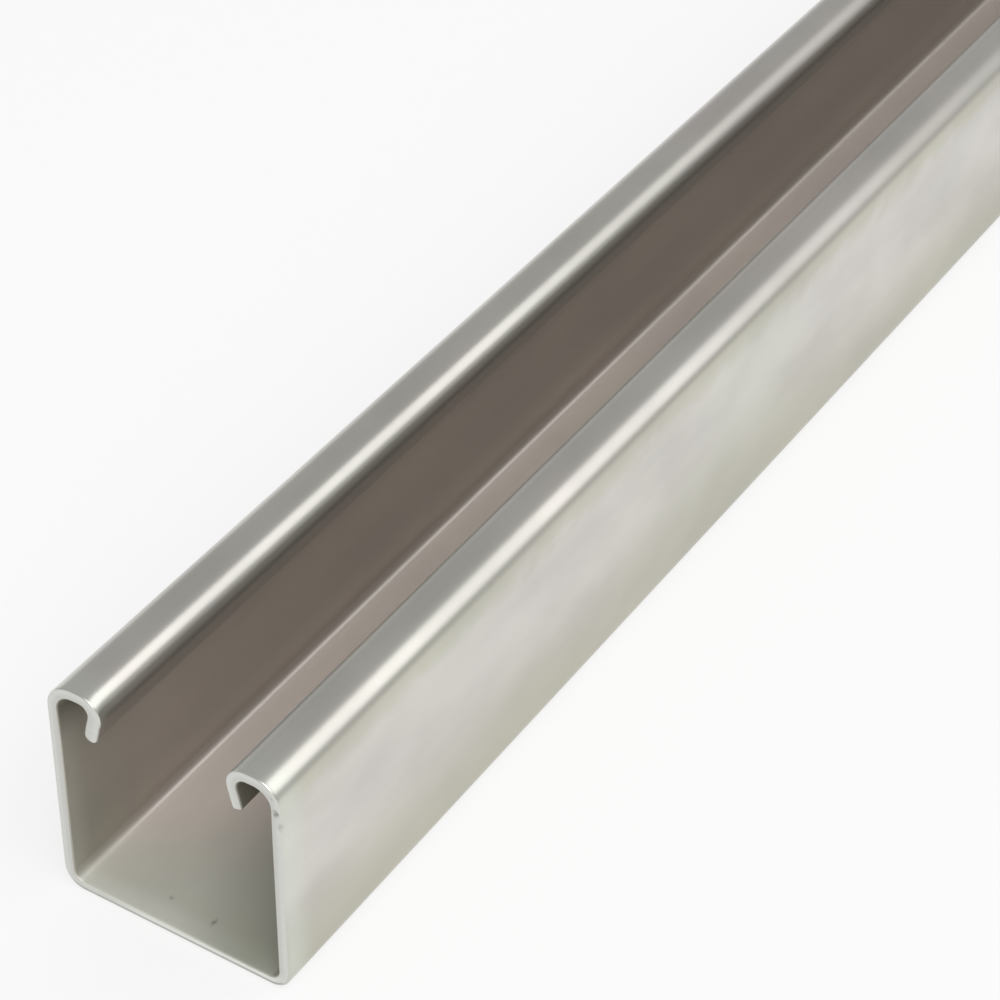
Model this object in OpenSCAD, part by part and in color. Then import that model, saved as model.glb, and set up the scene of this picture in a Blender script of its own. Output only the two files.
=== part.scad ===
// Solid-back strut channel, roll formed from one flat strip of aluminium.
// It lies on its back with the slot up. X runs across, Y along the length and Z up.
// The origin is on the underside of the back, halfway along.

/* [Section] */
// Width over the two side walls
channel_w = 41.3; // [36:0.1:82.6]
// Height from the underside of the back to the top of the lips
channel_h = 41.3; // [20.6:0.1:82.6]
// Thickness of the strip
wall = 1.9; // [1.5:0.1:2.7]

/* [Length] */
// Length of the piece, between its two sawn ends
channel_l = 609.6; // [50:0.1:6096]

/* [Bends] */
// Inside radius where the back turns up into the side walls
back_bend_r = 1.8; // [0.5:0.1:6]
// Inside radius where the side walls turn in at the top
top_bend_r = 2.9; // [0.5:0.1:4]
// Inside radius where the lips turn down into the slot
lip_bend_r = 1.7; // [0.5:0.1:2.5]

/* [Lips] */
// Clear width of the slot between the two lips
slot_w = 22.2; // [14:0.1:26]
// How far the lip tips hang below the top of the channel
lip_drop = 7.9; // [6:0.1:14]
// How far the lips are bent past square, back towards the walls, in degrees
lip_over_bend = 13.5; // [0:0.5:25]
// Rounding on the slit edges of the strip, at the lip tips
tip_edge_r = 0.4; // [0.1:0.1:0.6]

/* [Hidden] */
$fn = 96;

// Shortest flat left between the two bends of a lip
least_flat = 0.1;

// Width of one lip, from the outer face of the wall to the slot
lip_w = (channel_w - slot_w) / 2;

// Outside radii of the bends; the top bend gives way on a lip too narrow for both
back_out_r = back_bend_r + wall;
lip_out_r = lip_bend_r + wall;
top_out_r = min(top_bend_r + wall, lip_w - lip_out_r - least_flat);

// Straight stretches between the bends
back_flat = channel_w / 2 - back_out_r;
wall_flat = channel_h - back_out_r - top_out_r;
lip_flat = lip_w - top_out_r - lip_out_r;
leg_drop = lip_drop - lip_out_r * (1 + sin(lip_over_bend));
tip_round_off = tip_edge_r * (sin(lip_over_bend) + cos(lip_over_bend) - 1);
leg_flat = (leg_drop + tip_round_off) / cos(lip_over_bend);

// The strip runs along +X with its outer face on the X axis.
// Each stretch draws itself and carries what follows it at its far end.

// Straight stretch of strip
module flat(run) {
    square([run, wall]);
    translate([run, 0]) children();
}

// Stretch of strip bent up to the left, with its outer face at radius out_r
module bend(angle, out_r) {
    reach = 2 * out_r;
    translate([0, out_r]) {
        intersection() {
            difference() {
                circle(out_r);
                circle(out_r - wall);
            }
            translate([0, -reach]) square([reach, 2 * reach]);
            rotate(angle) translate([-reach, -reach]) square([reach, 2 * reach]);
        }
        rotate(angle) translate([0, -out_r]) children();
    }
}

// Last stretch of strip, ending in its slit edge with rounded corners
module tip(run) {
    square([run - tip_edge_r, wall]);
    translate([0, tip_edge_r]) square([run, wall - 2 * tip_edge_r]);
    for (y = [tip_edge_r, wall - tip_edge_r]) {
        translate([run - tip_edge_r, y]) circle(tip_edge_r);
    }
}

// Half the section, from the middle of the back round to the lip tip
module half_section() {
    flat(back_flat)
    bend(90, back_out_r)
    flat(wall_flat)
    bend(90, top_out_r)
    flat(lip_flat)
    bend(90 + lip_over_bend, lip_out_r)
    tip(leg_flat);
}

// The whole channel: both halves of the section, drawn out along Y
module strut_channel() {
    color([0.80, 0.80, 0.77])
    rotate([90, 0, 0])
    linear_extrude(channel_l, center = true) {
        half_section();
        mirror([1, 0]) half_section();
    }
}

strut_channel();
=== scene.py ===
import math

import bpy
from mathutils import Matrix, Vector


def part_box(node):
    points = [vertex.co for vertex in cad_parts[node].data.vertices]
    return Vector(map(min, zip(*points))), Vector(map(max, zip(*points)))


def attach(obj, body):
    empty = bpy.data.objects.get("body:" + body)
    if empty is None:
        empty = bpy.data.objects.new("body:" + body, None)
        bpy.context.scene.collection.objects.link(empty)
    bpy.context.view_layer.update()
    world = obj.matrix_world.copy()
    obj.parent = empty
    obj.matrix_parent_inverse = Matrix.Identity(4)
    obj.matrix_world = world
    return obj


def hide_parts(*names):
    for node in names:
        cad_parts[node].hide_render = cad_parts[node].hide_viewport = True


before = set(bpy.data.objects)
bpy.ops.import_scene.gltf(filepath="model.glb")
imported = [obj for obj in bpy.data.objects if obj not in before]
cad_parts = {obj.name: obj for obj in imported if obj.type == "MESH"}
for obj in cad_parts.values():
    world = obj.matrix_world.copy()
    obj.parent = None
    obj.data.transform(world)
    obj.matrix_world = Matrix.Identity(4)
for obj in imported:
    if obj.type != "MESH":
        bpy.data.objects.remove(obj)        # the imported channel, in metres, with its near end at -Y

bl_info = {
    "name": "Strut channel",
    "version": (1, 0, 0),
    "blender": (4, 5, 0),
    "location": "View3D > Sidebar > Strut channel",
    "description": "Folds a strip of aluminium into strut channel, finishes it and sets it on a studio floor",
    "category": "Object",
}

MM = 0.001
RIGHT_ANGLE = math.pi / 2
NODE = "strut_channel"
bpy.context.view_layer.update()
LOW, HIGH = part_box(NODE)
NEAR_END = LOW.y

# Points in the rounded edge of the strip, counted from its end or side
ROUND_STEPS = 4
# Points through the thickness of the strip, on its cut ends and edges
LAYERS = 5
# How strongly the rows of points crowd towards the two cut ends
ROW_CROWDING = 1.7
# Stretch round the back bends in which the filing of the outer edge runs out
FILED_RUN_OUT = 5.0 * MM

# Waves that forming left: how many to a metre along the strip, how much closer
# they lie across it, and how much finer detail they have
WAVES = 22
WAVE_SQUEEZE = 2.2
WAVE_DETAIL = 1

# Nicks in the near cut end: place round the strip from the middle of the back,
# place through it (0 outside, 1 inside), half width, half height and depth
NICKS = (
    (56.4 * MM, 0.42, 1.0 * MM, 0.40, 0.10 * MM),
    (53.6 * MM, 0.55, 0.8 * MM, 0.45, 0.35 * MM),
    (51.2 * MM, 0.12, 1.5 * MM, 0.25, 0.20 * MM),
)
# Stretch in from the end in which a nick runs out
NICK_RUN = 1.0 * MM

# Burr that the cut rolled over one lip at the near end: place round the strip,
# half width, run in from the end, how far it thickens and lengthens the tip,
# and the stretch in which it rounds the tip off, with the share of thickness lost
BURR_PLACE = -67.0 * MM
BURR_HALF_WIDTH = 4.6 * MM
BURR_RUN = 1.4 * MM
BURR_SWELL = 0.40
BURR_REACH = 0.65 * MM
BURR_ROUND = 1.1 * MM
BURR_THINNING = 0.75

# Grain that follows the strip round its bends: lumps to a metre across it and along it,
# change from the outer face to the inner one, finer detail and seed
STREAKS = (500, 3, 5, 1, 2)
PATCHES = (70, 34, 3, 3, 5)
CLOUDS = (38, 20, 3, 2, 9)
MOTTLE = (170, 120, 3, 2, 6)

# Grain that doesn't: scores of the blade, to a metre along each axis, and crumbs that break up
# the dark marks, each with finer detail and seed
SCORES = ((160, 160, 1500), 2, 3)
CRUMBS = (1100, 2, 4)

# How far the clouds and the mottling push the edges of the painted light and shade to and fro
CLOUD_DRIFT = 16 * MM
MOTTLE_DRIFT = 9 * MM

# Fades of the finish round the strip: where each begins and where it is full,
# measured from the middle of the back, to the right where only one side has it
BACK_FADE = (22 * MM, 17 * MM)
# painted shade low on the outside of the walls, standing for the floor's shadow seen in them
WALL_SHADE_FADE = (44 * MM, 20 * MM)
# painted shade along the outside of the top bends, below their highlight
BEND_SHADE_FADE = (51 * MM, 55.5 * MM)
BEND_SHADE_END = (57.2 * MM, 55.6 * MM)
RIGHT_SLOT_FADE = (61.8 * MM, 63.0 * MM)
LEFT_SLOT_FADE = (-63.4 * MM, -64.8 * MM)
# painted shade on the slot side of the lips' hanging edges
HANGING_EDGE_FADE = (64.6 * MM, 66.2 * MM)
# painted shade inside the walls, low down
INNER_WALL_FADE = (26 * MM, 46 * MM)
# painted shade up under the lips
INNER_LIP_FADE = (47 * MM, 55 * MM)
# painted shadow along the right side of the floor
FLOOR_SHADOW_FADE = (-4 * MM, 14 * MM)
# painted highlight on the inner half of the back's cut ends
BRIGHT_CUT_FADE = (-13 * MM, -4 * MM)

# Fades in from the cut ends, and how much further in the one on the floor lies per metre to the right
NEAR_END_FADE = (24 * MM, 3 * MM)
OUTER_END_FADE = (7 * MM, 1 * MM)
# painted light inside along the cut ends
RIM_FADE = (5 * MM, 1 * MM)
# painted light on the floor of the channel near the cut ends
FLOOR_END_FADE = (36 * MM, 6 * MM)
FLOOR_END_SLANT = 0.8

# Fades by the strength of a mark or of the grain
INSIDE_FADE = (0.3, 0.7)
WARM_FADE = (0.36, 0.64)
PATCH_FADE = (0.35, 0.68)
# painted shade where the outer edge along the back is filed
FILED_SHADE_FADE = (0.40, 0.62)
NICK_DARK_FADE = (0.02, 0.20)

# How strong each part of the finish is where it is full
# painted shade low on the outer walls
WALL_SHADE_SHARE = 0.85
# painted shade along the top bends
BEND_SHADE_SHARE = 0.6
LEFT_SLOT_SHARE = 0.35
OUTER_END_SHARE = 0.6
# painted light and shade inside the walls near the cut ends
WALL_END_SHARE = 0.4
# painted light inside along the cut ends, on the walls and the floor
WALL_RIM_SHARE = 0.2
FLOOR_RIM_SHARE = 0.6
# painted shadow along one side of the floor
FLOOR_SHADOW_SHARE = 0.75
# painted highlight on the back's cut ends
BRIGHT_CUT_SHARE = 0.6
BRIGHT_CUT_LEAST = 0.15
NICK_DARK_SHARE = 0.45

# How far the grain darkens the metal, and the share of its brightness that is left at the darkest
PATCH_SHADE = 0.22
PATCH_SHADE_LOST_INSIDE = 0.1
STREAK_SHADE = 0.05
MOTTLE_SHADE = 0.09
DARKEST_ROLLED = 0.55
SCORE_SHADE = 0.2
DARKEST_SCORE = 0.6

# How the grain and the cut ends change the roughness; no part of the finish is glossier than the least
PATCH_ROUGHNESS = 0.12
STREAK_ROUGHNESS = 0.05
END_ROUGHNESS = 0.15
LEAST_ROUGHNESS = 0.29

# Strength and height of the fine bumps
BUMP_STRENGTH = 0.3
BUMP_HEIGHT = 0.01 * MM

# How strongly the crumbs break up the darker colour in the nicks, and how much they leave unmarked
NICK_CRUMBS = 2.4
NICK_UNMARKED = 0.5

# Dark specks on the channel's floor: place across, place in from the near end,
# radius, stretch along the length and depth of colour
SPECKS = (
    (-4.3 * MM, 4.7 * MM, 0.45 * MM, 1.2, 0.35),
    (4.0 * MM, 4.1 * MM, 0.40 * MM, 2.2, 0.55),
)
# How ragged a speck's edge is, how far it blurs outwards and the share of the radius that is full
SPECK_RAGGED = 0.5 * MM
SPECK_BLUR = 0.4 * MM
SPECK_CORE = 0.6

# Large lights: direction from the object, distance, the way that the width runs, width and height
KEY_LIGHT = ((0.571, 0.532, 0.626), 1.6, (0.713, 0.0, -0.701), 1.16, 0.9)
TOP_LIGHT = ((0.46, -0.48, 0.75), 2.0, (1.0, 0.0, 0.0), 1.1, 2.5)
# Point that the lights face
LIT_POINT = Vector((0.0, NEAR_END + 0.12, LOW.z + 0.04))
# Distance from the middle of the floor to its sides
FLOOR_REACH = 12.0
# Width of the camera's sensor in millimetres, and the nearest that the camera sees
SENSOR_WIDTH = 36.0
NEAREST_SEEN = 0.01


def length(name, description, default):
    """A size in metres that a user can change."""
    return bpy.props.FloatProperty(
        name=name,
        description=description,
        default=default,
        min=0.0,
        precision=5,
        subtype="DISTANCE",
        unit="LENGTH",
    )


def count(name, description, default):
    """A whole number."""
    return bpy.props.IntProperty(name=name, description=description, default=default)


def share(name, description, default, highest=1.0):
    """A plain number from nothing to a highest value."""
    return bpy.props.FloatProperty(
        name=name, description=description, default=default, min=0.0, max=highest, subtype="FACTOR"
    )


def colour(name, description, default):
    """A linear colour."""
    return bpy.props.FloatVectorProperty(
        name=name, description=description, default=default, size=3, min=0.0, max=1.0, subtype="COLOR"
    )


class ChannelSizes(bpy.types.PropertyGroup):
    """Sizes of the formed channel and of the mesh that carries them."""

    width: length("Width", "Width over the two side walls", HIGH.x - LOW.x)
    height: length("Height", "Height from the underside of the back to the top of the lips", HIGH.z - LOW.z)
    run: length("Length", "Length between the two cut ends", HIGH.y - LOW.y)
    wall: length("Wall", "Thickness of the strip", 1.9 * MM)
    back_bend: length("Back bend", "Inside radius where the back turns up into the walls", 1.8 * MM)
    top_bend: length("Top bend", "Inside radius where the walls turn in at the top", 2.9 * MM)
    lip_bend: length("Lip bend", "Inside radius where the lips turn down into the slot", 1.7 * MM)
    slot: length("Slot", "Clear width between the two lips", 22.2 * MM)
    lip_drop: length("Lip drop", "How far the lip tips hang below the top", 7.9 * MM)
    over_bend: bpy.props.FloatProperty(
        name="Over-bend",
        description="How far the lips are bent past square, back towards the walls",
        default=math.radians(13.5),
        subtype="ANGLE",
        unit="ROTATION",
    )
    tip_edge: length("Tip edge", "Rounding on the slit edges of the strip, at the lip tips", 0.4 * MM)
    sawn_edge: length("Sawn edge", "Rounding on the edges of the sawn ends", 0.25 * MM)
    filed_edge: length("Filed edge", "Rounding where an end's outer edge is filed, along the back", 0.8 * MM)
    waviness: length("Waviness", "Depth of the slight waves that forming left in the strip", 0.03 * MM)
    columns: count("Columns", "Points across the strip, an odd number", 401)
    rows: count("Rows", "Points along the strip, an odd number", 91)
    seed: count("Seed", "Seed of the waves in the strip", 7)


class ChannelFinish(bpy.types.PropertyGroup):
    """Colours and gloss of the bare metal, with painted light and shade among the colours."""

    mill_cool: colour("Cool mill finish", "Cooler tone of the bare strip", (0.672, 0.662, 0.608))
    mill_warm: colour("Warm mill finish", "Pinkish tone of the bare strip", (0.690, 0.660, 0.622))
    # Painted shade: darker and greener low on the outer walls, standing for the floor's shadow seen in them
    wall_painted_shade: colour("Wall film", "Dull film low down on the outside of the walls", (0.478, 0.468, 0.370))
    # Painted shade: an olive band along the outside of the top bends, standing for the dark reflection below
    # their highlight
    bend_painted_shade: colour("Bend stain", "Olive stain along the outside of the top bends", (0.560, 0.555, 0.440))
    mill_end: colour("Mill finish at the ends", "Greener tone close to the cut ends", (0.700, 0.740, 0.660))
    inner_wall: colour("Inner wall", "Tone of the inside of the walls, high up", (0.650, 0.580, 0.520))
    # Painted shade: darker low down inside the walls
    low_inner_wall_shade: colour("Low inner wall", "Tone inside the walls, low down", (0.385, 0.342, 0.306))
    # Painted light and shade: a greener, darker tone near the cut ends, for the tint of the light coming in
    # there and the shade in the lip pockets
    inner_wall_end: colour("Inner wall at the ends", "Greener tone near the cut ends", (0.430, 0.430, 0.350))
    # Painted shade: darker up under the lips, where their shadow falls
    under_lip_shade: colour("Inner lip", "Darker tone up under the lips", (0.310, 0.300, 0.240))
    inner_floor: colour("Inner floor", "Tone of the inside of the back", (0.770, 0.700, 0.635))
    # Painted light: the greener tint of the light that comes in at the open ends
    inner_floor_end: colour("Inner floor at the ends", "Greener tone near the ends", (0.680, 0.690, 0.600))
    # Painted light: paler inside along the cut ends, where light comes in
    inner_rim: colour("Inner rim", "Paler tone of the inside along the cut ends", (0.850, 0.860, 0.780))
    # Painted shadow: darker and greener along the right side of the back, where the right wall and lip shade
    # it
    floor_painted_shadow: colour("Floor film", "Duller tone along one side of the back", (0.385, 0.400, 0.315))
    # Painted shade on the slot side of the lips' hanging edges, which lie in shade
    leg_painted_shade: colour("Slot film", "Dull film on the slot side of the lips", (0.300, 0.268, 0.238))
    cut_metal: colour("Cut metal", "Fresh metal on the cut ends", (0.740, 0.745, 0.710))
    # Painted highlight: the inner edge of the back's cut ends, where it catches the light
    cut_painted_highlight: colour("Bright cut", "Brightest metal, inside on the back's cut ends", (0.900, 0.905, 0.860))
    # Painted shade: greyer where the cut ends' outer edge along the back is filed and faces the floor's
    # shadow
    filed_painted_shade: colour("Filed metal", "Greyer metal where the edge is filed", (0.430, 0.435, 0.415))
    # Dark specks on the floor, and the darker colour in the nicks
    dark_marks: colour("Grime", "Dark specks and the dirt in nicks", (0.090, 0.085, 0.065))
    gloss: share("Roughness", "Roughness of the mill finish", 0.32)
    inner_gloss: share("Inner roughness", "Roughness of the strip's inner face", 0.36)
    wall_haze: share("Wall haze", "Share of dull film on the inside of the walls and lips", 0.22)
    floor_haze: share("Floor haze", "Share of dull film on the inside of the back", 0.65)
    edge_haze: share("Edge haze", "Share of dull film on the edges of the slot", 0.5)
    cut_gloss: share("Cut roughness", "Roughness of the cut ends", 0.50)


class StageSettings(bpy.types.PropertyGroup):
    """Floor, light and camera."""

    floor_white: share("Floor white", "How white the floor's paper is", 0.92)
    floor_glow: share("Floor glow", "Share of the floor that shows as plain white", 0.75)
    room: share("Room", "Brightness of the plain room around the object", 0.48)
    key: share("Key light", "Brightness of the large light behind the object", 1.28, 10.0)
    top: share("Top light", "Brightness of the light above and in front", 2.8, 10.0)
    camera_place: bpy.props.FloatVectorProperty(
        name="Camera place",
        description="Camera's place from the middle of the near end, at the back's underside",
        default=(0.21233, -0.24856, 0.34615),
        size=3,
        subtype="TRANSLATION",
        unit="LENGTH",
    )
    camera_turn: bpy.props.FloatVectorProperty(
        name="Camera turn",
        description="Turn to the left, tilt down and roll of the camera",
        default=(math.radians(32.202), math.radians(39.028), math.radians(0.574)),
        size=3,
        subtype="EULER",
        unit="ROTATION",
    )
    lens: bpy.props.FloatProperty(
        name="Lens", description="Focal length on the camera's sensor", default=114.22, unit="CAMERA"
    )


class Wire:
    """Output of a node that can be used in sums, so that a tree's formulas read as formulas."""

    def __init__(self, tree, socket):
        self.tree = tree
        self.socket = socket

    def math(self, operation, *terms):
        node = self.tree.nodes.new("ShaderNodeMath")
        node.operation = operation
        for socket, term in zip(node.inputs, terms):
            feed(self.tree, socket, term)
        return Wire(self.tree, node.outputs[0])

    def __add__(self, other):
        return self.math("ADD", self, other)

    def __radd__(self, other):
        return self.math("ADD", other, self)

    def __sub__(self, other):
        return self.math("SUBTRACT", self, other)

    def __rsub__(self, other):
        return self.math("SUBTRACT", other, self)

    def __mul__(self, other):
        return self.math("MULTIPLY", self, other)

    def __truediv__(self, other):
        return self.math("DIVIDE", self, other)

    def __pow__(self, other):
        return self.math("POWER", self, other)

    def __abs__(self):
        return self.math("ABSOLUTE", self)

    def sign(self):
        return self.math("SIGN", self)

    def sin(self):
        return self.math("SINE", self)

    def cos(self):
        return self.math("COSINE", self)

    def least(self, floor):
        return self.math("MAXIMUM", self, floor)

    def most(self, ceiling):
        return self.math("MINIMUM", self, ceiling)


def feed(tree, socket, value):
    """Links a socket to a wire, or sets it to a plain value."""
    if isinstance(value, Wire):
        tree.links.new(value.socket, socket)
    else:
        socket.default_value = value


def make(tree, kind, settings=None, **inputs):
    """Adds a node, sets its options and feeds its inputs by name, with _ for a space."""
    node = tree.nodes.new(kind)
    for option, value in (settings or {}).items():
        setattr(node, option, value)
    for name, value in inputs.items():
        feed(tree, node.inputs[name.replace("_", " ")], value)
    return node


def out(tree, node, name):
    """One output of a node, as a wire."""
    return Wire(tree, node.outputs[name])


def vector(tree, x, y, z):
    """Three numbers joined into a vector."""
    return out(tree, make(tree, "ShaderNodeCombineXYZ", X=x, Y=y, Z=z), "Vector")


def parts(wire):
    """A vector's three numbers."""
    node = make(wire.tree, "ShaderNodeSeparateXYZ", Vector=wire)
    return [out(wire.tree, node, axis) for axis in "XYZ"]


def noise(place, scale, detail, seed):
    """Smooth noise from 0 to 1."""
    node = make(
        place.tree,
        "ShaderNodeTexNoise",
        {"noise_dimensions": "4D"},
        Vector=place,
        W=seed,
        Scale=scale,
        Detail=detail,
    )
    return Wire(place.tree, node.outputs[0])


def group_inputs(tree, sockets):
    """Declares a tree's named inputs and returns them as wires."""
    for name, kind in sockets:
        tree.interface.new_socket(name, in_out="INPUT", socket_type=kind)
    node = tree.nodes.new("NodeGroupInput")
    return {name: out(tree, node, name) for name, kind in sockets}


def bend_group():
    """Node group that rolls the strip up round one bend line and carries the rest of it along."""
    tree = bpy.data.node_groups.new("roll up one bend", "GeometryNodeTree")
    given = group_inputs(
        tree,
        (
            ("Point", "NodeSocketVector"),
            ("Start", "NodeSocketFloat"),
            ("Outside radius", "NodeSocketFloat"),
            ("Thickness", "NodeSocketFloat"),
            ("Angle", "NodeSocketFloat"),
        ),
    )
    tree.interface.new_socket("Point", in_out="OUTPUT", socket_type="NodeSocketVector")
    across, along, through = parts(given["Point"])
    radius = given["Outside radius"]
    middle = radius - given["Thickness"] / 2
    past = across - given["Start"]
    turned = (past / middle).least(0).most(given["Angle"])
    rest = (past - middle * given["Angle"]).least(0)
    arm = through - radius
    folded = vector(
        tree,
        given["Start"] + past.most(0) + rest * turned.cos() - arm * turned.sin(),
        along,
        radius + rest * turned.sin() + arm * turned.cos(),
    )
    result = tree.nodes.new("NodeGroupOutput")
    feed(tree, result.inputs["Point"], folded)
    return tree


def crowd(step, steps, radius, reach, crowding):
    """Distance in from a rounded edge, and thickness lost there, for the points that lie a step in."""
    turn = (step / ROUND_STEPS).most(1) * RIGHT_ANGLE
    rest = ((step - ROUND_STEPS) / (steps - ROUND_STEPS)).least(0) ** crowding
    depth = radius - radius * turn.cos() + (reach - radius) * rest
    lost = radius - radius * turn.sin()
    return depth, lost


STRIP_INPUTS = (
    ("Back flat", "NodeSocketFloat"),
    ("Back bend radius", "NodeSocketFloat"),
    ("Wall flat", "NodeSocketFloat"),
    ("Top bend radius", "NodeSocketFloat"),
    ("Lip flat", "NodeSocketFloat"),
    ("Lip bend radius", "NodeSocketFloat"),
    ("Lip bend angle", "NodeSocketFloat"),
    ("Leg flat", "NodeSocketFloat"),
    ("Thickness", "NodeSocketFloat"),
    ("Length", "NodeSocketFloat"),
    ("Tip edge", "NodeSocketFloat"),
    ("Sawn edge", "NodeSocketFloat"),
    ("Filed edge", "NodeSocketFloat"),
    ("Waviness", "NodeSocketFloat"),
    ("Columns", "NodeSocketInt"),
    ("Rows", "NodeSocketInt"),
    ("Seed", "NodeSocketInt"),
    ("Metal", "NodeSocketMaterial"),
)


def channel_tree():
    """Geometry Nodes tree that lays out a flat strip, marks it and folds it up bend by bend."""
    tree = bpy.data.node_groups.new("fold strip into channel", "GeometryNodeTree")
    tree.interface.new_socket("Geometry", in_out="OUTPUT", socket_type="NodeSocketGeometry")
    given = group_inputs(tree, STRIP_INPUTS)
    thickness = given["Thickness"]
    end = given["Length"] / 2

    # Bend lines on the flat strip, out from its middle
    bends = []
    reach = given["Back flat"]
    for radius, angle, flat in (
        (given["Back bend radius"], RIGHT_ANGLE, given["Wall flat"]),
        (given["Top bend radius"], RIGHT_ANGLE, given["Lip flat"]),
        (given["Lip bend radius"], given["Lip bend angle"], given["Leg flat"]),
    ):
        bends.append((reach, radius, angle))
        reach = reach + (radius - thickness / 2) * angle + flat

    # The flat strip, as a box with a grid of points on it
    strip = make(
        tree,
        "GeometryNodeMeshCube",
        Size=vector(tree, reach * 2, given["Length"], thickness),
        Vertices_X=given["Columns"],
        Vertices_Y=given["Rows"],
        Vertices_Z=LAYERS,
    )
    across, along, through = parts(out(tree, make(tree, "GeometryNodeInputPosition"), "Position"))
    depth_share = through / thickness + 0.5
    column_steps = (given["Columns"] - 1) / 2
    row_steps = (given["Rows"] - 1) / 2
    column = (1 - abs(across) / reach) * column_steps
    row = (1 - abs(along) / end) * row_steps

    # Rounded slit edges and cut ends
    side_in, side_lost = crowd(column, column_steps, given["Tip edge"], reach, 1)
    strip_x = across.sign() * (reach - side_in)
    past_back = abs(strip_x) - given["Back flat"]
    filed = (1 - past_back / FILED_RUN_OUT).least(0).most(1) * (1 - depth_share)
    end_edge = given["Sawn edge"] + (given["Filed edge"] - given["Sawn edge"]) * filed
    end_in, end_lost = crowd(row, row_steps, end_edge, end, ROW_CROWDING)
    strip_y = along.sign() * (end - end_in)

    # Nicks that the cut left in the near end
    nicked = 0
    for place, level, half_width, half_height, depth in NICKS:
        out_x = (strip_x - place) / half_width
        out_z = (depth_share - level) / half_height
        dent = (1 - out_x * out_x - out_z * out_z).least(0)
        nicked = dent * depth + nicked
    near_half = (1 - along.sign()) / 2
    nicked = nicked * (1 - end_in / NICK_RUN).least(0) * near_half

    # Burr on one lip tip
    off_burr = (strip_x - BURR_PLACE) / BURR_HALF_WIDTH
    burr_run = (1 - end_in / BURR_RUN).least(0) * near_half
    burr = (1 - off_burr * off_burr).least(0) * burr_run
    to_tip = (1 - (strip_x + reach) / BURR_ROUND).least(0)
    rounded = 1 - (1 - (1 - to_tip * to_tip * BURR_THINNING) ** 0.5) * burr_run

    # Slight waves, always inwards
    wave_place = vector(tree, strip_x * WAVE_SQUEEZE, strip_y, 0)
    wave = noise(wave_place, WAVES, WAVE_DETAIL, given["Seed"]) * given["Waviness"]
    kept = (1 - side_lost * 2 / thickness).least(0)
    level = depth_share * (thickness - end_lost * 2) + end_lost
    off_centre = (level - thickness / 2) * kept * (burr * BURR_SWELL + 1) * rounded
    strip_z = thickness / 2 + off_centre + wave

    # Marks that the finish reads: place round the strip and along it, side,
    # the row of points on the cut ends, depth of the nicks in millimetres, and filing
    shape = out(tree, strip, "Mesh")
    for name, value in (
        ("across", strip_x),
        ("along", strip_y),
        ("inside", depth_share),
        ("cut", (1 - row * 2).least(0)),
        ("nick", nicked / MM),
        ("filed", filed),
    ):
        settings = {"data_type": "FLOAT", "domain": "POINT"}
        store = make(tree, "GeometryNodeStoreNamedAttribute", settings, Geometry=shape, Name=name)
        feed(tree, store.inputs["Value"], value)
        shape = out(tree, store, "Geometry")
    flat = make(
        tree,
        "GeometryNodeSetPosition",
        Geometry=shape,
        Position=vector(tree, strip_x - burr * BURR_REACH, strip_y + nicked, strip_z),
    )

    # Fold the lips first, then the tops, then the walls
    x, y, z = parts(out(tree, make(tree, "GeometryNodeInputPosition"), "Position"))
    point = vector(tree, abs(x), y, z)
    roll = bend_group()
    for start, radius, angle in reversed(bends):
        bend = make(
            tree,
            "GeometryNodeGroup",
            {"node_tree": roll},
            Point=point,
            Start=start,
            Outside_radius=radius,
            Thickness=thickness,
            Angle=angle,
        )
        point = out(tree, bend, "Point")
    folded_x, folded_y, folded_z = parts(point)
    folded = make(
        tree,
        "GeometryNodeSetPosition",
        Geometry=out(tree, flat, "Geometry"),
        Position=vector(tree, folded_x * x.sign(), folded_y, folded_z),
    )
    smooth = make(tree, "GeometryNodeSetShadeSmooth", Geometry=out(tree, folded, "Geometry"))
    whole = make(tree, "GeometryNodeRealizeInstances", Geometry=out(tree, smooth, "Geometry"))
    metal = make(
        tree, "GeometryNodeSetMaterial", Geometry=out(tree, whole, "Geometry"), Material=given["Metal"]
    )
    result = tree.nodes.new("NodeGroupOutput")
    feed(tree, result.inputs["Geometry"], out(tree, metal, "Geometry"))
    return tree


def strip_sizes(sizes):
    """Flats and outside radii of the strip, from the sizes of the finished section."""
    back_out = sizes.back_bend + sizes.wall
    top_out = sizes.top_bend + sizes.wall
    lip_out = sizes.lip_bend + sizes.wall
    lean, upright = math.sin(sizes.over_bend), math.cos(sizes.over_bend)
    tip_round_off = sizes.tip_edge * (lean + upright - 1)
    return {
        "Back flat": sizes.width / 2 - back_out,
        "Back bend radius": back_out,
        "Wall flat": sizes.height - back_out - top_out,
        "Top bend radius": top_out,
        "Lip flat": (sizes.width - sizes.slot) / 2 - top_out - lip_out,
        "Lip bend radius": lip_out,
        "Lip bend angle": RIGHT_ANGLE + sizes.over_bend,
        "Leg flat": (sizes.lip_drop + tip_round_off - lip_out * (1 + lean)) / upright,
        "Thickness": sizes.wall,
        "Length": sizes.run,
        "Tip edge": sizes.tip_edge,
        "Sawn edge": sizes.sawn_edge,
        "Filed edge": sizes.filed_edge,
        "Waviness": sizes.waviness,
        "Columns": sizes.columns,
        "Rows": sizes.rows,
        "Seed": sizes.seed,
    }


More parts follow.
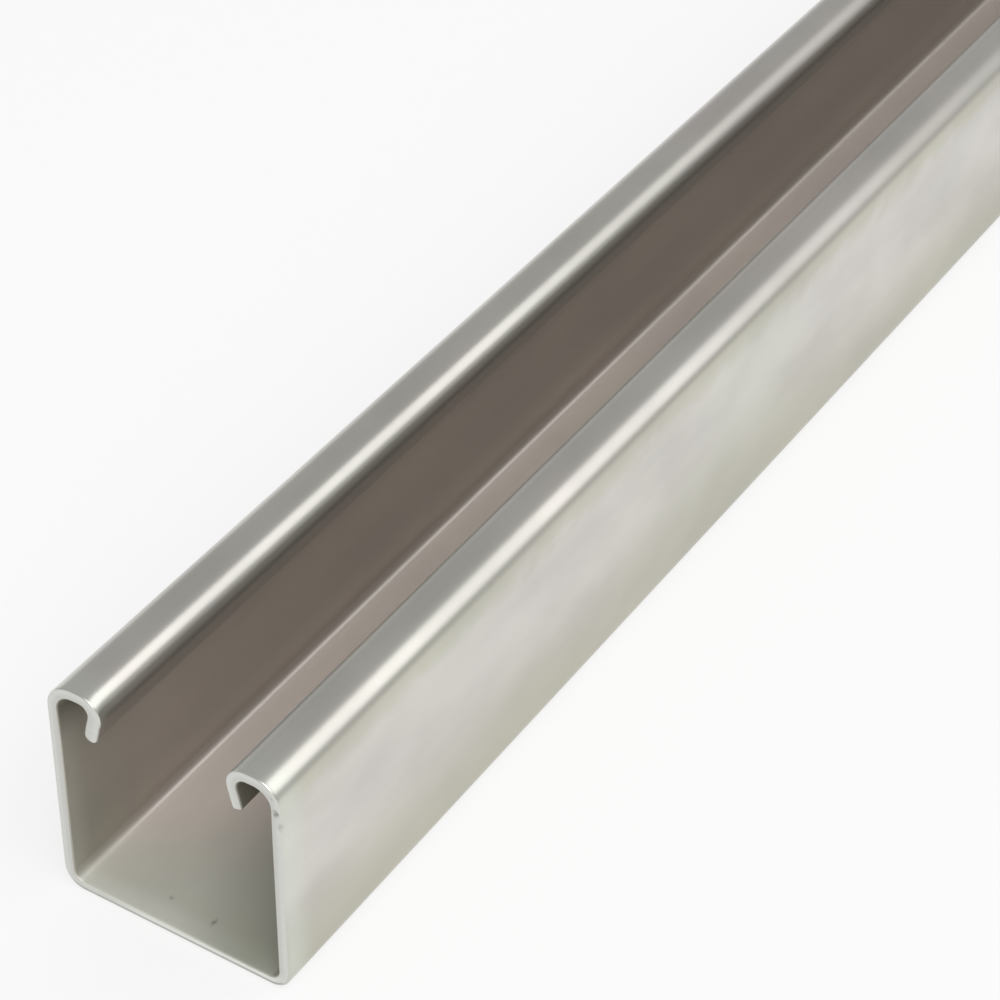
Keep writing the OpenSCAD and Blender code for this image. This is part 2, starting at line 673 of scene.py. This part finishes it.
def grown(name, tree, inputs):
    """Runs a Geometry Nodes tree on an empty object and keeps the result as a plain mesh."""
    piece = bpy.data.objects.new(name, bpy.data.meshes.new(name + "_start"))
    bpy.context.scene.collection.objects.link(piece)
    modifier = piece.modifiers.new("grow", "NODES")
    modifier.node_group = tree
    for socket in tree.interface.items_tree:
        if socket.in_out == "INPUT":
            modifier[socket.identifier] = inputs[socket.name]
    bpy.context.view_layer.update()
    evaluated = piece.evaluated_get(bpy.context.evaluated_depsgraph_get())
    mesh = bpy.data.meshes.new_from_object(evaluated)
    mesh.name = name
    piece.modifiers.remove(modifier)
    piece.data = mesh
    if not mesh.polygons:
        raise RuntimeError(f"{name} came out with no faces")
    return piece


def attribute(tree, name):
    """One of the marks left on the strip, as a wire."""
    return out(tree, make(tree, "ShaderNodeAttribute", {"attribute_name": name}), "Fac")


def blend(amount, first, second):
    """Colour between two others."""
    tree = amount.tree
    node = tree.nodes.new("ShaderNodeMix")
    node.data_type = "RGBA"
    feed(tree, node.inputs[0], amount)
    for socket, tone in ((node.inputs[6], first), (node.inputs[7], second)):
        feed(tree, socket, tone if isinstance(tone, Wire) else (*tone, 1.0))
    return Wire(tree, node.outputs[2])


def ramp(value, fade):
    """Smooth step from 0 where a fade begins to 1 where it is full."""
    node = make(value.tree, "ShaderNodeMapRange", {"interpolation_type": "SMOOTHSTEP"}, Value=value)
    begins, full = fade
    node.inputs["From Min"].default_value = begins
    node.inputs["From Max"].default_value = full
    return out(value.tree, node, "Result")


def darker(tone, left):
    """A colour with a share of its brightness left."""
    return tuple(channel * left for channel in tone)


class Surface:
    """What the finish knows of a point on the strip: its place, side and grain, and how near the cut is."""

    def __init__(self, tree, half_length):
        self.tree = tree
        self.across = attribute(tree, "across")
        self.along = attribute(tree, "along")
        self.cut = attribute(tree, "cut")
        self.inside = ramp(attribute(tree, "inside"), INSIDE_FADE)
        self.off_middle = abs(self.across)
        self.from_end = half_length - abs(self.along)

        # Streaks run with the forming rolls; patches and clouds are broad and soft, mottling is finer
        self.streaks = self.grain(STREAKS)
        self.patches = self.grain(PATCHES)
        self.clouds = self.grain(CLOUDS)
        self.mottle = self.grain(MOTTLE)
        self.drift = (self.clouds - 0.5) * CLOUD_DRIFT

        self.on_back = ramp(self.off_middle, BACK_FADE)
        self.near_end = ramp(self.from_end + self.drift, NEAR_END_FADE)
        self.rim = ramp(self.from_end, RIM_FADE)

    def grain(self, kind):
        """Noise that follows the strip round its bends."""
        per_across, per_along, per_side, detail, seed = kind
        place = vector(
            self.tree, self.across * per_across, self.along * per_along, self.inside * per_side
        )
        return noise(place, 1, detail, seed)


def outer_tone(surface, finish):
    """Outside of the strip: warm and cool clouds, with painted shade low on the walls, along the top bends
    and on the slot side of the hanging edges.
    """
    # Painted shade low on the walls, standing for the floor's shadow that they reflect
    film = ramp(surface.off_middle + surface.drift, WALL_SHADE_FADE)
    mottled = surface.off_middle + (surface.mottle - 0.5) * MOTTLE_DRIFT
    # Painted shade along the top bends, standing for a dark reflection below their highlight
    stain = ramp(mottled, BEND_SHADE_FADE) * ramp(surface.off_middle, BEND_SHADE_END)
    end = ramp(surface.from_end, OUTER_END_FADE)
    tone = blend(ramp(surface.clouds, WARM_FADE), finish.mill_cool, finish.mill_warm)
    tone = blend(film * WALL_SHADE_SHARE, tone, finish.wall_painted_shade)
    tone = blend(stain * BEND_SHADE_SHARE, tone, finish.bend_painted_shade)
    tone = blend(end * OUTER_END_SHARE, tone, finish.mill_end)
    # Painted shade on the slot side of the hanging edges
    return blend(ramp(surface.off_middle, HANGING_EDGE_FADE), tone, finish.leg_painted_shade)


def inner_wall_tone(surface, finish):
    """Inside of the walls and lips: painted shade low down and up under the lips, and a greener, darker tone
    towards the cut ends painted for the light and shade there.
    """
    # Painted shade low down inside the walls
    tone = blend(ramp(surface.off_middle, INNER_WALL_FADE), finish.low_inner_wall_shade, finish.inner_wall)
    # Painted light and shade near the cut ends
    tone = blend(surface.near_end * WALL_END_SHARE, tone, finish.inner_wall_end)
    # Painted light along the cut ends
    tone = blend(surface.rim * WALL_RIM_SHARE, tone, finish.inner_rim)
    # Painted shade up under the lips
    return blend(ramp(surface.off_middle, INNER_LIP_FADE), tone, finish.under_lip_shade)


def inner_floor_tone(surface, finish):
    """Inside of the back: painted light towards the cut ends, where it is greener and paler at the rim, and a
    painted shadow along one side.
    """
    # Painted light near the cut ends, reaching further in towards the right
    end = ramp(surface.from_end - surface.across * FLOOR_END_SLANT + surface.drift, FLOOR_END_FADE)
    # Painted shadow of the right wall and lip along that side of the floor
    film = ramp(surface.across, FLOOR_SHADOW_FADE)
    tone = blend(end, finish.inner_floor, finish.inner_floor_end)
    # Painted light along the cut ends
    tone = blend(surface.rim * FLOOR_RIM_SHARE, tone, finish.inner_rim)
    return blend(film * FLOOR_SHADOW_SHARE, tone, finish.floor_painted_shadow)


def rolled_tone(surface, finish):
    """Both faces of the strip, darkened by patches, streaks and mottling."""
    inner = blend(surface.on_back, inner_wall_tone(surface, finish), inner_floor_tone(surface, finish))
    tone = blend(surface.inside, outer_tone(surface, finish), inner)
    patch_shade = PATCH_SHADE - surface.inside * PATCH_SHADE_LOST_INSIDE
    shade = ramp(surface.patches, PATCH_FADE) * patch_shade
    shade = shade + surface.streaks * STREAK_SHADE + surface.mottle * MOTTLE_SHADE
    return blend(shade, tone, darker(finish.mill_warm, DARKEST_ROLLED))


def cut_tone(surface, finish, scores):
    """Fresh metal of the cut ends: scored by the blade, with a painted highlight inside on the back and
    painted shade where the edge is filed.
    """
    # Painted highlight inside on the back's cut ends
    bright = ramp(surface.across, BRIGHT_CUT_FADE) * BRIGHT_CUT_SHARE + BRIGHT_CUT_LEAST
    bright = surface.inside * surface.on_back * bright
    # Painted shade on the filed outer edge
    filed = ramp(attribute(surface.tree, "filed"), FILED_SHADE_FADE)
    tone = blend(scores * SCORE_SHADE, finish.cut_metal, darker(finish.cut_metal, DARKEST_SCORE))
    tone = blend(bright, tone, finish.cut_painted_highlight)
    return blend(filed, tone, finish.filed_painted_shade)


def dark_cover(place, floor_level):
    """How far the dark colour covers a point: broken up by crumbs in the nicks, and ragged specks on the
    floor of the channel.
    """
    tree = place.tree
    x, y, z = parts(place)
    crumbs = noise(place, *CRUMBS)
    nicked = attribute(tree, "nick") * (crumbs * NICK_CRUMBS - NICK_UNMARKED)
    darkening = ramp(nicked, NICK_DARK_FADE) * NICK_DARK_SHARE
    for speck_x, speck_in, radius, stretch, depth in SPECKS:
        gap = make(tree, "ShaderNodeVectorMath", {"operation": "DISTANCE"})
        feed(tree, gap.inputs[0], vector(tree, x, y / stretch, z))
        gap.inputs[1].default_value = (speck_x, (NEAR_END + speck_in) / stretch, floor_level)
        ragged = out(tree, gap, "Value") + crumbs * SPECK_RAGGED
        spot = ramp(ragged, (radius + SPECK_BLUR, radius * SPECK_CORE))
        darkening = darkening.least(spot * depth)
    return darkening


def roughness(surface, finish):
    """Roughness of the metal, uneven with the grain and higher on the cut ends."""
    rough = finish.gloss + surface.inside * (finish.inner_gloss - finish.gloss)
    rough = rough + (surface.patches - 0.5) * PATCH_ROUGHNESS + (surface.streaks - 0.5) * STREAK_ROUGHNESS
    rough = rough + surface.cut * (finish.cut_gloss - finish.gloss)
    rough = rough + surface.inside * surface.near_end * END_ROUGHNESS
    return rough.least(LEAST_ROUGHNESS)


def dull_film(surface, finish):
    """Share of dull film: inside the channel and on the edges of the slot, none on the cut ends."""
    left_edge = ramp(surface.across, LEFT_SLOT_FADE) * LEFT_SLOT_SHARE
    slot_edge = (ramp(surface.across, RIGHT_SLOT_FADE) + left_edge) * (1 - surface.inside)
    within = finish.wall_haze + surface.on_back * (finish.floor_haze - finish.wall_haze)
    return (surface.inside * within + slot_edge * finish.edge_haze) * (1 - surface.cut)


def mill_finish(finish, sizes):
    """Bare rolled aluminium: soft patches and streaks, a dull inside, fresh cut ends and a few specks, with
    painted light and shade inside the channel, on the outside and on the cut ends.
    """
    metal = bpy.data.materials.new("mill_aluminium")
    metal.use_nodes = True
    tree = metal.node_tree
    surface = Surface(tree, sizes.run / 2)
    place = out(tree, make(tree, "ShaderNodeTexCoord"), "Object")
    score_scale, score_detail, score_seed = SCORES
    scored = [axis * per_metre for axis, per_metre in zip(parts(place), score_scale)]
    scores = noise(vector(tree, *scored), 1, score_detail, score_seed)
    tone = blend(surface.cut, rolled_tone(surface, finish), cut_tone(surface, finish, scores))
    tone = blend(dark_cover(place, LOW.z + sizes.wall), tone, finish.dark_marks)
    bump = make(
        tree,
        "ShaderNodeBump",
        Strength=BUMP_STRENGTH,
        Distance=BUMP_HEIGHT,
        Height=surface.patches * (1 - surface.cut) + scores * surface.cut,
    )
    shader = tree.nodes["Principled BSDF"]
    feed(tree, shader.inputs["Base Color"], tone)
    feed(tree, shader.inputs["Roughness"], roughness(surface, finish))
    feed(tree, shader.inputs["Normal"], out(tree, bump, "Normal"))
    feed(tree, shader.inputs["Metallic"], 1 - dull_film(surface, finish))
    return metal


def studio_floor(settings):
    """Pale paper that shows nearly white to the eye and in reflections, and still takes a shadow."""
    paper = bpy.data.materials.new("studio_paper")
    paper.use_nodes = True
    tree = paper.node_tree
    tree.nodes.remove(tree.nodes["Principled BSDF"])
    white = settings.floor_white
    matt = make(tree, "ShaderNodeBsdfDiffuse", Color=(white, white, white, 1.0))
    glow = make(tree, "ShaderNodeEmission", Color=(1.0, 1.0, 1.0, 1.0), Strength=1.0)
    path = tree.nodes.new("ShaderNodeLightPath")
    seen = out(tree, path, "Is Camera Ray").least(out(tree, path, "Is Glossy Ray"))
    seen = seen.least(out(tree, path, "Is Transmission Ray"))
    mixed = tree.nodes.new("ShaderNodeMixShader")
    feed(tree, mixed.inputs[0], seen * settings.floor_glow)
    feed(tree, mixed.inputs[1], out(tree, matt, "BSDF"))
    feed(tree, mixed.inputs[2], out(tree, glow, "Emission"))
    feed(tree, tree.nodes["Material Output"].inputs["Surface"], out(tree, mixed, "Shader"))
    return paper


def soft_light(name, brightness, aim, distance, wide_way, wide, tall):
    """Large even light that faces the lit point, with its width along a given way."""
    lamp = bpy.data.lights.new(name, "AREA")
    lamp.shape = "RECTANGLE"
    lamp.size, lamp.size_y = wide, tall
    lamp.energy = brightness * math.pi * wide * tall
    light = bpy.data.objects.new(name, lamp)
    back = Vector(aim).normalized()
    up = back.cross(Vector(wide_way)).normalized()
    turn = Matrix((up.cross(back), up, back)).transposed().to_4x4()
    light.matrix_world = Matrix.Translation(LIT_POINT + back * distance) @ turn
    light.visible_camera = False
    bpy.context.scene.collection.objects.link(light)


class STRUT_OT_form_channel(bpy.types.Operator):
    """Fold the strip into the channel and give it its mill finish"""

    bl_idname = "strut.form_channel"
    bl_label = "Form channel"

    def execute(self, context):
        sizes = context.scene.strut_sizes
        inputs = strip_sizes(sizes)
        inputs["Metal"] = mill_finish(context.scene.strut_finish, sizes)
        channel = grown("formed_channel", channel_tree(), inputs)
        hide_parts(NODE)
        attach(channel, "root")
        return {"FINISHED"}


class STRUT_OT_set_stage(bpy.types.Operator):
    """Lay the floor, hang the lights and place the camera"""

    bl_idname = "strut.set_stage"
    bl_label = "Set stage"

    def execute(self, context):
        scene = context.scene
        settings = scene.strut_stage
        self.lay_floor(scene, settings)
        self.hang_lights(scene, settings)
        self.place_camera(scene, settings)
        scene.view_settings.view_transform = "Standard"
        return {"FINISHED"}

    def lay_floor(self, scene, settings):
        mesh = bpy.data.meshes.new("floor")
        corners = ((-1, -1), (1, -1), (1, 1), (-1, 1))
        points = [(x * FLOOR_REACH, y * FLOOR_REACH, LOW.z) for x, y in corners]
        mesh.from_pydata(points, [], [(0, 1, 2, 3)])
        mesh.materials.append(studio_floor(settings))
        floor = bpy.data.objects.new("floor", mesh)
        scene.collection.objects.link(floor)

    def hang_lights(self, scene, settings):
        world = bpy.data.worlds.new("plain_room")
        world.use_nodes = True
        level = settings.room
        world.node_tree.nodes["Background"].inputs["Color"].default_value = (level, level, level, 1.0)
        scene.world = world
        soft_light("key_light", settings.key, *KEY_LIGHT)
        soft_light("top_light", settings.top, *TOP_LIGHT)

    def place_camera(self, scene, settings):
        turn, tilt, roll = settings.camera_turn
        lens = bpy.data.cameras.new("camera")
        lens.sensor_width = SENSOR_WIDTH
        lens.lens = settings.lens
        lens.clip_start = NEAREST_SEEN
        camera = bpy.data.objects.new("camera", lens)
        aim = Matrix.Rotation(turn, 4, "Z") @ Matrix.Rotation(RIGHT_ANGLE - tilt, 4, "X")
        place = Vector((0.0, NEAR_END, LOW.z)) + Vector(settings.camera_place)
        camera.matrix_world = Matrix.Translation(place) @ aim @ Matrix.Rotation(roll, 4, "Z")
        scene.collection.objects.link(camera)
        scene.camera = camera


class STRUT_PT_panel(bpy.types.Panel):
    """Sizes, finish and stage of the channel"""

    bl_idname = "STRUT_PT_panel"
    bl_label = "Strut channel"
    bl_space_type = "VIEW_3D"
    bl_region_type = "UI"
    bl_category = "Strut channel"

    def draw(self, context):
        for group, operator in (
            (context.scene.strut_sizes, None),
            (context.scene.strut_finish, STRUT_OT_form_channel),
            (context.scene.strut_stage, STRUT_OT_set_stage),
        ):
            box = self.layout.box()
            for name in group.__annotations__:
                box.prop(group, name)
            if operator:
                box.operator(operator.bl_idname)


CLASSES = (
    ChannelSizes,
    ChannelFinish,
    StageSettings,
    STRUT_OT_form_channel,
    STRUT_OT_set_stage,
    STRUT_PT_panel,
)


def register():
    for cls in CLASSES:
        bpy.utils.register_class(cls)
    bpy.types.Scene.strut_sizes = bpy.props.PointerProperty(type=ChannelSizes)
    bpy.types.Scene.strut_finish = bpy.props.PointerProperty(type=ChannelFinish)
    bpy.types.Scene.strut_stage = bpy.props.PointerProperty(type=StageSettings)


def unregister():
    del bpy.types.Scene.strut_stage
    del bpy.types.Scene.strut_finish
    del bpy.types.Scene.strut_sizes
    for cls in reversed(CLASSES):
        bpy.utils.unregister_class(cls)


def main():
    register()
    bpy.ops.strut.form_channel()
    bpy.ops.strut.set_stage()


if __name__ == "__main__":
    main()
